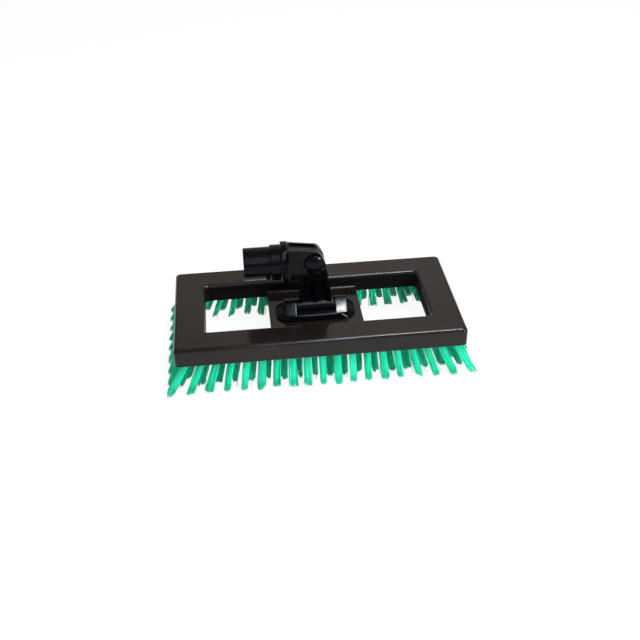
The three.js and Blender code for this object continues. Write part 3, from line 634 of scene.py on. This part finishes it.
def tuftRoots():
    # rows along the long rails and columns along the short ones, each inner line half a pitch off
    f = tuftForm
    row, innerRow = evenLine(f["rowTufts"], f["rowPitch"]), evenLine(f["rowTufts"] - 1, f["rowPitch"])
    column = evenLine(f["columnTufts"], f["columnPitch"])
    innerColumn = evenLine(f["columnTufts"] - 1, f["columnPitch"])
    groups = {"front": [], "back": [], "left": [], "right": []}
    for side, name in ((-1, "front"), (1, "back")):
        groups[name] += [np.stack([row, 0 * row + side * f["outerRow"]], -1),
                         np.stack([innerRow, 0 * innerRow + side * f["innerRow"]], -1),
                         np.array([[sx * f["outerColumn"], side * column[-1]] for sx in (-1, 1)])]
    for side, name in ((-1, "left"), (1, "right")):
        groups[name] += [np.stack([0 * column[1:-1] + side * f["outerColumn"], column[1:-1]], -1),
                         np.stack([0 * innerColumn + side * f["innerColumn"], innerColumn], -1)]
    return {name: np.concatenate(parts) for name, parts in groups.items()}


def tuftTips(roots, rng):
    # the lean grows with a power of the distance from the middle, more in the rows than in the columns
    f = tuftForm
    reach = np.where(np.abs(roots[:, 1]) < f["innerRow"], f["columnLean"], f["rowLean"])
    lean = reach * np.sign(roots[:, 0]) * (np.abs(roots[:, 0]) / f["leanAt"]) ** f["leanPower"]
    tips = np.stack([roots[:, 0] + lean, roots[:, 1] * (1 + f["leanY"])], -1)
    return tips + rng.normal(0, f["tuftJitter"], tips.shape)


def strandArrays(roots, rng):
    # each strand is a three-sided tube on a straight leaning line that bows a little: rings at four heights,
    # closed at both ends by one triangle; roots fill a disc in a sunflower pattern, and the tips of a tuft
    # drift apart in clumps and are cut on a slant
    f = tuftForm
    tufts, count = len(roots), f["strands"]
    order = np.arange(count) + 0.5
    disc = f["tuftRadius"] * np.sqrt(order / count)
    golden = order * math.pi * (3 - math.sqrt(5))
    angle = golden + rng.uniform(0, 2 * math.pi, tufts)[:, None]
    offset = disc[None, :, None] * np.stack([np.cos(angle), np.sin(angle)], -1)
    clump = (golden % (2 * math.pi) / (2 * math.pi) * f["clumps"]).astype(int)
    drift = rng.normal(0, f["clumpDrift"], (tufts, f["clumps"], 2))[:, clump]
    spread = rng.uniform(*f["spread"], (tufts, 1, 1))
    start = roots[:, None] + offset
    end = tuftTips(roots, rng)[:, None] + offset * spread + drift + rng.normal(0, f["tipJitter"], offset.shape)
    stray = rng.uniform(size=offset.shape[:2]) < f["strayShare"]
    end = end + stray[..., None] * rng.normal(0, f["strayReach"], offset.shape)
    slant = np.sum(rng.normal(0, f["cutSlant"], (tufts, 1, 2)) * offset, -1)
    rough = np.abs(rng.normal(0, f["cutJitter"], offset.shape[:2])) + np.abs(rng.normal(0, 0.4, tufts))[:, None]
    clumpCut = np.abs(rng.normal(0, f["clumpCut"], (tufts, f["clumps"])))[:, clump]
    cutHeight = np.clip(0.35 + slant + rough + clumpCut, 0.03, 5).reshape(-1)
    bow = rng.normal(0, 0.22, offset.shape)
    start, end, bow = (v.reshape(-1, 2) for v in (start, end, bow))
    end = np.clip(end, np.array(cadBox[0][:2]) / mm + f["edgeMargin"], np.array(cadBox[1][:2]) / mm - f["edgeMargin"])
    share = np.array([-f["rootDepth"] / f["rootHeight"], 0.33, 0.68, 1.0])
    inside = np.clip(share, 0, 1)
    middle = start[:, None] + (end - start)[:, None] * share[None, :, None]
    middle = middle + bow[:, None] * (4 * inside * (1 - inside))[None, :, None]
    height = f["rootHeight"] - (f["rootHeight"] - cutHeight)[:, None] * share
    corner = np.arange(3) * 2 * math.pi / 3 + rng.uniform(0, 2, len(start))[:, None]
    radius = f["strandRadius"] * rng.uniform(0.88, 1.1, len(start))[:, None, None]
    ring = np.stack([np.cos(corner), np.sin(corner)], -1)[:, None] * radius[..., None]
    points = np.empty((len(start), 4, 3, 3))
    points[..., :2] = middle[:, :, None] + ring
    points[..., 2] = height[:, :, None]
    shade = 0.72 * rng.uniform(size=(tufts, count)) + 0.28 * rng.uniform(size=(tufts, 1))
    return points, shade.reshape(-1), inside


def bristlePiece(name, roots, rng):
    points, shade, share = strandArrays(roots, rng)
    strands = len(points)
    first = np.arange(strands)[:, None] * 12
    quads = (first[:, :, None] + gridFaces(4, 3)[None]).reshape(-1, 4)
    caps = np.concatenate([first + np.array([2, 1, 0]), first + np.array([9, 10, 11])])  # roots, then cut ends
    mesh = bpy.data.meshes.new(name)
    mesh.from_pydata((points.reshape(-1, 3) * mm).tolist(), [], quads[:, ::-1].tolist() + caps[:, ::-1].tolist())
    lengthwise = np.tile(np.repeat(share, 3), strands)
    for attribute, values in (("strandTone", np.repeat(shade, 12)), ("along", lengthwise)):
        mesh.attributes.new(attribute, "FLOAT", "POINT").data.foreach_set("value", values.astype(np.float32))
    makePiece(name + "Filaments", mesh, bristleSkin, "head", "bristle_nylon", name + "_bristles", sharpAngle=180)
    smooth = np.ones(len(mesh.polygons), bool)
    smooth[len(quads):len(quads) + strands] = False  # flat root ends leave the shading of the sides alone
    mesh.polygons.foreach_set("use_smooth", smooth)


def makeBristles():
    rng = np.random.default_rng(tuftForm["seed"])
    for name, roots in tuftRoots().items():
        bristlePiece(name, roots, rng)


makeBristles()


# Hinge base: plinth with ramped lobes, and two ears

baseForm = {
    "halfLength": 36.0,
    "halfWidth": 16.0,
    "bottom": 33.5,
    "top": 39.5,
    "corner": 11.5,
    "footHeight": 1.6,
    "lobeRun": 5.6,
    "flankRun": 0.9,
    "rim": 1.2,
    "pivot": 40.0,
    "earInner": 17.4,
    "earOuter": 28.4,
    "earRadius": 7.5,
    "earFoot": 14.0,
    "earEdge": 0.8,
    "rodHole": 2.8,
    "rodHoleEnd": 26.7,
}


def plinthShell():
    # a section of (run inwards, height) carried round a rounded rectangle: a low wall, a ramp and a round rim;
    # the run is the lobe's at the ends and shrinks to the flank's at the sides
    f = baseForm
    rimStart, rimEnd = f["lobeRun"], f["lobeRun"] + f["rim"]
    section = roundedLine(
        [(0, f["bottom"]), (0, f["bottom"] + f["footHeight"]), (rimStart, f["top"] - f["rim"]),
         (rimEnd, f["top"]), (rimEnd + 3, f["top"])],
        [0, 0.5, 1.4, 1.4, 0], steps=8, closed=False)
    run, height = section.T
    side = np.interp(run, [0, rimStart, rimEnd, rimEnd + 3],
                     [0, f["flankRun"], f["flankRun"] + f["rim"], f["flankRun"] + f["rim"] + 3])
    x, y = roundedRect(f["halfLength"] - run, f["halfWidth"] - side, f["corner"] - side, 18)
    return tube(np.stack([x, y, np.broadcast_to(height[:, None], x.shape)], -1))


def earShell(side):
    # an outline of a foot, two tangents and a round top, drawn in on a quarter circle at both faces
    f = baseForm
    edge = f["earEdge"]
    arc = np.linspace(0, math.pi / 2, 8)
    inset = np.concatenate([edge - edge * np.sin(arc), [0, 0], edge - edge * np.cos(arc)])
    x = np.concatenate([f["earInner"] + edge - edge * np.cos(arc),
                        [f["earInner"] + edge + 0.3, f["earOuter"] - edge - 0.3],
                        f["earOuter"] - edge + edge * np.sin(arc)])
    radius = (f["earRadius"] - inset)[:, None]
    foot = f["earFoot"] - 1.15 * inset[:, None]
    drop = f["pivot"] - f["top"]
    start = np.arccos(radius / np.hypot(foot, drop)) - np.arctan2(drop, foot)
    turn = start + (math.pi - 2 * start) * np.linspace(0, 1, 41)
    top = np.stack([radius * np.cos(turn), f["pivot"] + radius * np.sin(turn)], -1)
    ones = np.ones_like(foot)
    feet = [np.stack([s * foot, ones * z], -1) for s, z in ((-1, f["top"]), (-1, 36.2), (1, 36.2), (1, f["top"]))]
    outline = np.concatenate([top, *feet], 1)
    return tube(np.concatenate([np.broadcast_to(side * x[:, None, None], (*outline.shape[:2], 1)), outline], -1))


def makeBase():
    f = baseForm
    ears = [newMesh("ear", [earShell(side)]) for side in (-1, 1)]
    rodHole = newMesh("rodHole", [barAlongX(f["rodHole"], -f["halfLength"] - 1, f["rodHoleEnd"], f["pivot"], 64)])
    mesh = combine("hingeBaseMoulding", newMesh("plinth", [plinthShell()]),
                   UNION=ears, DIFFERENCE=[barrelRecess(), rodHole, screwHoles()])
    makePiece("hingeBaseMoulding", mesh, hingeSkin, "head", "hinge_plastic", "hinge_base")


makeBase()


# Neck: barrel, web, ribs, ridge and shoulders

neckForm = {
    "pivot": 40.0,
    "pin": 87.8,
    "barrelRadius": 7.5,
    "barrelHalf": 16.9,
    "barrelEdge": 0.8,
    "side": [(14.7, 44.0), (14.9, 62.0), (11.0, 76.0), (9.3, 87.8)],  # curve handles from foot to pin
    "tongue": (9.3, 12.2),  # half width and height of its round end above the pin
    "web": 2.0,
    "rib": 6.0,
    "ribWidth": 3.2,
    "ridgeHalf": 5.0,
    "ridgeReach": 6.8,
    "shoulder": (72.6, 0.108),  # height in the middle and fall towards the sides
    "shoulderDepth": 3.0,
    "pocketTop": 69.6,  # in the middle; falls as the shoulder does
    "pocketCorner": 2.0,
    "tiltLimit": 55.0,
    "tiltGap": 0.4,
    "plinthDrop": 0.5,
    "edge": 0.5,
    "soften": 0.4,
    "start": 42.0,
    "step": 0.3,
    "ribColumns": (0.9, 1.6, 2.3, 2.8, 2.95, 3.05, 3.15, 3.25, 3.35, 3.45, 3.6, 4.0),  # in from the side
    "shear": (58.0, 66.0, 75.0, 84.0),  # where the grid's rows take on the shoulder's fall and lose it
    "rodHole": 2.8,
    "pinHole": 4.3,
}


def neckHalfWidth(z):
    # the side curve's half width at a height, then the round tongue's
    f = neckForm
    curve = bezier(f["side"], 400)
    body = np.interp(z, curve[:, 1], curve[:, 0])
    wide, high = f["tongue"]
    tongue = wide * np.sqrt(np.clip(1 - ((z - f["pin"]) / high) ** 2, 0, None))
    return np.where(z > f["pin"], tongue, body)


def eased(distance):
    # 0 outside an edge and 1 inside it, with a smooth step over the softening width
    s = np.clip(distance / neckForm["soften"] + 0.5, 0, 1)
    return s * s * (3 - 2 * s)


def neckDepth(x, z):
    # how far the face stands off the middle plane: a web, side ribs and a shoulder bar on it, and a ridge whose
    # plan is a rhombus, each edge softened, less the relief that clears the plinth at full tilt
    f = neckForm
    half = neckHalfWidth(z)
    r = f["pocketCorner"]
    shoulderTop, fall = f["shoulder"]
    dx, dz = half - f["ribWidth"] - np.abs(x), f["pocketTop"] - fall * np.abs(x) - z
    inCorner = (dx < r) & (dz < r)
    inside = np.where(inCorner, r - np.hypot(np.clip(r - dx, 0, None), np.clip(r - dz, 0, None)), np.minimum(dx, dz))
    ribbed = eased(shoulderTop - fall * np.abs(x) - z) * (1 - eased(inside))
    ridge = f["ridgeReach"] * (1 - np.abs(x) / f["ridgeHalf"]) * eased(shoulderTop - f["shoulderDepth"] / 2 - z)
    depth = np.maximum(f["web"] + (f["rib"] - f["web"]) * ribbed, ridge)
    tilt = math.radians(f["tiltLimit"])
    relief = ((z - f["pivot"]) * math.cos(tilt) - (f["tiltGap"] - f["plinthDrop"])) / math.sin(tilt)
    return np.minimum(depth, np.maximum(relief, 0.5))


def smoothStep(v, fromHere, toHere):
    s = np.clip((v - fromHere) / (toHere - fromHere), 0, 1)
    return s * s * (3 - 2 * s)


def neckShell():
    # rings round the neck at each height: front face from side to side, then the rear face back again; columns keep
    # their distance from the side as far as the rib goes, and rows fall with the shoulder near it
    f = neckForm
    rise = np.unique(np.concatenate([np.arange(f["start"], f["pin"], f["step"]),
                                     f["shoulder"][0] + np.linspace(-0.5, 0.5, 11)]))
    turn = np.linspace(0, math.pi / 2, 30)
    s = np.concatenate([rise, f["pin"] + f["tongue"][1] * np.sin(turn)])[:, None]
    low, lowFull, highFull, high = f["shear"]
    fall = f["shoulder"][1] * smoothStep(s, low, lowFull) * (1 - smoothStep(s, highFull, high))
    half = neckHalfWidth(s - fall * neckHalfWidth(s))
    half[-1] = 0.01
    rim = np.array([0, 0.02, 0.06, 0.12, 0.2, 0.32, 0.45, 0.6]) * f["edge"] / 0.6
    offsets = np.concatenate([rim, f["ribColumns"]])
    middle = np.linspace(0.97, 0, 40)
    ribbed = np.concatenate([half - offsets, (half - offsets[-1]) * middle], 1)
    narrow = f["tongue"][0]
    plain = np.concatenate([narrow - offsets, (narrow - offsets[-1]) * middle]) / narrow
    right = np.where(half >= narrow, ribbed, half * plain)
    x = np.concatenate([-right, right[:, -2::-1]], 1)
    z = s - fall * np.abs(x)
    depth = neckDepth(x, z)
    fromEdge = np.clip(half - np.abs(x), 0, f["edge"])
    rounding = f["edge"] - np.sqrt(np.clip(f["edge"] ** 2 - (f["edge"] - fromEdge) ** 2, 0, None))
    depth = np.clip(depth - rounding, 0.05, None)
    front = np.stack([x, -depth, z], -1)
    rear = np.stack([x, depth, z], -1)[:, ::-1]
    return tube(np.concatenate([front, rear], 1))


def barrelShell():
    # a profile with rounded ends revolved about the rod
    f = neckForm
    profile = roundedLine([(-f["barrelHalf"], 0), (-f["barrelHalf"], f["barrelRadius"]),
                           (f["barrelHalf"], f["barrelRadius"]), (f["barrelHalf"], 0)],
                          [0, f["barrelEdge"], f["barrelEdge"], 0], closed=False)
    turn = np.linspace(0, 2 * math.pi, 128, endpoint=False)
    x, radius = profile[1:-1, :1], profile[1:-1, 1:]
    return tube(np.stack([np.broadcast_to(x, (len(x), 128)), radius * np.cos(turn), f["pivot"] + radius * np.sin(turn)], -1))


def makeNeck():
    f = neckForm
    rodHole = newMesh("rodHole", [barAlongX(f["rodHole"], -f["barrelHalf"] - 1, f["barrelHalf"] + 1, f["pivot"], 64)])
    pinHole = newMesh("pinHole", [barAlongY(f["pinHole"], -9, 9, f["pin"])])
    mesh = combine("neckMoulding", newMesh("barrel", [barrelShell()]),
                   UNION=[newMesh("neck", [neckShell()])], DIFFERENCE=[rodHole, pinHole])
    makePiece("neckMoulding", mesh, hingeSkin, "neck", "hinge_plastic", "swivel_neck")


makeNeck()


# Pole socket: stepped barrel with its bore, hollow flanks and two fork cheeks

socketForm = {
    "axis": 87.8,
    "profile": [  # along the axis, radius, rounding
        (-26.2, 0, 0), (-26.2, 11.8, 0.6), (-61.2, 11.8, 0.5), (-62.2, 12.3, 0.3), (-62.2, 14.6, 0.9),
        (-38.8, 14.6, 0.4), (-38.8, 16.0, 0.6), (-29.4, 16.0, 0.5), (-29.4, 18.4, 0.9), (-23.8, 18.4, 0.7),
        (-23.0, 17.6, 0.7), (-2.4, 15.0, 0)],
    "cone": (-23.0, 17.6, 14.7),  # start, radius there and at the pin
    "flat": 8.0,
    "sweep": [(-16.0, 8.0, 0), (-24.5, 8.0, 4.5), (-25.6, 17.3, 2.2), (-28.6, 18.5, 0)],  # along, out, rounding
    "edge": 0.4,
    "headEdge": 1.5,
    "nose": [(-2.0, 14.7), (3.5, 13.6), (9.4, 4.5), (9.4, 0.05)],  # curve handles along and up
    "blend": 0.5,
    "slotHalf": 2.4,
    "slotRoot": -12.9,
    "coreRoot": -21.5,  # a cored pocket carries the slot on along the top
    "coreFloor": 8.5,
    "pinHole": 4.3,
}


def flankLimit(x):
    # how far out the flank reaches at each station: the flat, then the hollow curve out to the head
    sweep = socketForm["sweep"]
    curve = roundedLine([(x, y) for x, y, r in sweep], [r for x, y, r in sweep], steps=16, closed=False)
    return np.interp(-x, -curve[:, 0], curve[:, 1], left=socketForm["flat"], right=99)


def socketStations():
    # along the bore and back over the outside to the cone, then round the nose: place, radius and nose height
    f = socketForm
    profile = roundedLine([(x, r) for x, r, e in f["profile"]], [e for x, r, e in f["profile"]], steps=8, closed=False)
    dense = fineLine(profile, 0.25)
    keep = (dense[:, 0] > -26.0) & (dense[:, 1] > 12)
    profile = np.concatenate([profile[profile[:, 0] <= -26.0][1:], dense[keep]])
    nose = bezier(f["nose"], 60)
    start, startRadius, pinRadius = f["cone"]
    noseCone = pinRadius + (startRadius - pinRadius) * nose[:, 0] / start
    return (np.concatenate([profile[:, 0], nose[:, 0]]), np.concatenate([profile[:, 1], noseCone]),
            np.concatenate([np.full(len(profile), 99.0), nose[:, 1]]))


def socketShell():
    # a ring at each station: top arc, round corner, straight flank and round corner, and the same below; where
    # the ring is whole the straights shrink to nothing, and on the nose its height bounds the ring
    f = socketForm
    x, radius, height = (v[:, None] for v in socketStations())
    limit = np.where(radius > 12.5, np.minimum(flankLimit(x), radius), radius)
    edge = np.interp(-x, [20.5, 24.5], [f["edge"], f["headEdge"]])
    centreY = limit - edge
    centreZ = np.sqrt(np.clip((radius - edge) ** 2 - centreY ** 2, 0, None))
    bend = np.arctan2(centreZ, centreY)
    arc = bend + (math.pi - 2 * bend) * np.linspace(0, 1, 73)
    corner = bend * np.linspace(0, 1, 7)[1:-1]
    flank = centreZ * np.linspace(-1, 1, 40)
    topY, topZ = radius * np.cos(arc), radius * np.sin(arc)
    cornerY, cornerZ = centreY + edge * np.cos(corner), centreZ + edge * np.sin(corner)
    side = np.broadcast_to(limit, flank.shape)
    y = np.concatenate([topY, -cornerY[:, ::-1], -side, -cornerY, topY[:, ::-1], cornerY[:, ::-1], side, cornerY], 1)
    z = np.concatenate([topZ, cornerZ[:, ::-1], flank[:, ::-1], -cornerZ, -topZ[:, ::-1], -cornerZ[:, ::-1], flank,
                        cornerZ], 1)
    lip = np.minimum(f["edge"], height)
    over = np.clip(np.abs(y) - (f["flat"] - lip), 0, lip)
    ceiling = np.where(height > 50, height, height - lip + np.sqrt(lip ** 2 - over ** 2))
    z = np.sign(z) * softMin(np.abs(z), ceiling, np.minimum(f["blend"], 0.4 * height + 0.001))
    return tube(np.stack([np.broadcast_to(x, y.shape), y, f["axis"] + z], -1))


def slotShell(root, end, low, high):
    # a plain box as wide as the slot
    f = socketForm
    ring = np.array([(root, -f["slotHalf"]), (end, -f["slotHalf"]), (end, f["slotHalf"]), (root, f["slotHalf"])])
    return tube(np.stack([np.concatenate([ring, np.full((4, 1), f["axis"] + z)], 1) for z in (low, high)]))


def makeSocket():
    f = socketForm
    slot = newMesh("slot", [slotShell(f["slotRoot"], 20, -30, 30)])
    core = newMesh("core", [slotShell(f["coreRoot"], f["slotRoot"] + 1, f["coreFloor"], 30)])
    pinHole = newMesh("pinHole", [barAlongY(f["pinHole"], -9, 9, f["axis"])])
    mesh = combine("socketMoulding", newMesh("socket", [socketShell()]), DIFFERENCE=[slot, core, pinHole])
    makePiece("socketMoulding", mesh, hingeSkin, "socket", "hinge_plastic", "pole_socket")


makeSocket()


# Swivel pin and its retainer

pinForm = {
    "axis": 87.8,
    "face": 8.0,
    "shank": (4.0, -10.4),  # radius and end, measured out from the middle on the head's side
    "pocket": (4.3, 10.7),  # the same for the hollow in the cap that takes the shank's end
    "head": (9.4, 2.4, 3.4),  # radius, height of the rim, height of the dome on it
    "cap": (8.2, 0.8, 3.4),
    "rimRound": 2.0,
}


def buttonShell(side, core, radius, rim, dome):
    # a spherical cap on a short rim, with a shank or a hollow behind it, revolved about the pin
    f = pinForm
    ball = (radius ** 2 + dome ** 2) / (2 * dome)
    reach = radius * np.sin(np.linspace(1.15, 0, 28))
    cap = np.stack([reach, f["face"] + rim + dome - ball + np.sqrt(ball ** 2 - reach ** 2)], -1)
    corners = [core, (core[0], f["face"]), (radius, f["face"]), (radius, f["face"] + rim), *cap]
    profile = roundedLine(corners, [0, 0, 0, f["rimRound"]] + [0] * len(cap), steps=8, closed=False)
    turn = np.linspace(0, 2 * math.pi, 128, endpoint=False)
    reach, out = profile[:, :1], profile[:, 1:]
    return tube(np.stack([reach * np.cos(turn), np.broadcast_to(side * out, (len(out), 128)),
                          f["axis"] + reach * np.sin(turn)], -1))


def makePins():
    head = newMesh("pinHead", [buttonShell(-1, pinForm["shank"], *pinForm["head"])])
    makePiece("pinHead", head, hingeSkin, "socket", "hinge_plastic", "swivel_pin")
    cap = newMesh("pinCap", [buttonShell(1, pinForm["pocket"], *pinForm["cap"])])
    makePiece("pinCap", cap, hingeSkin, "socket", "hinge_plastic", "pin_retainer")


makePins()


# Base screws: pan heads with a cross recess

screwForm = {
    "seat": 31.0,
    "headRadius": 3.7,
    "headHeight": 2.0,
    "headRound": 0.9,
    "shank": 2.0,
    "end": 41.0,
    "point": 1.0,
    "crossHalf": (2.0, 0.45),  # arm length and half width
    "crossDepth": 1.1,
}


def screwShell(x, y):
    # rings from the head's face up the shank to the point
    f = screwForm
    low = f["seat"] - f["headHeight"]
    profile = roundedLine(
        [(0.3, low), (f["headRadius"], low), (f["headRadius"], f["seat"]), (f["shank"], f["seat"]),
         (f["shank"], f["end"] - f["point"]), (f["shank"] / 2, f["end"])],
        [0, f["headRound"], 0.1, 0, 0, 0], closed=False)
    return discStack(x, y, profile)


def crossShell(x, y, turned):
    # one arm of the recess as a tapered bar
    f = screwForm
    low = f["seat"] - f["headHeight"]
    long, wide = f["crossHalf"]
    half = np.array([(long, wide), (0.45 * long, 0.6 * wide)])
    halfX, halfY = (half[:, 1], half[:, 0]) if turned else half.T
    px, py = roundedRect(halfX, halfY, 0.1, 3)
    height = np.array([low - 0.2, low + f["crossDepth"]])
    return tube(np.stack([x + px, y + py, np.broadcast_to(height[:, None], px.shape)], -1))


def makeScrews():
    for i, (x, y) in enumerate(screwPlaces()):
        arms = [newMesh("arm", [crossShell(x, y, turned)]) for turned in (False, True)]
        mesh = combine("screw", newMesh("screw", [screwShell(x, y)]), DIFFERENCE=arms)
        makePiece(f"baseScrew{i + 1}", mesh, steelSkin, "head", "steel", f"base_screw_{i + 1}")


makeScrews()


# The hinge rod keeps its shape

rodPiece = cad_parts["hinge_rod"]
rodPiece.data.materials.clear()
rodPiece.data.materials.append(steelSkin)
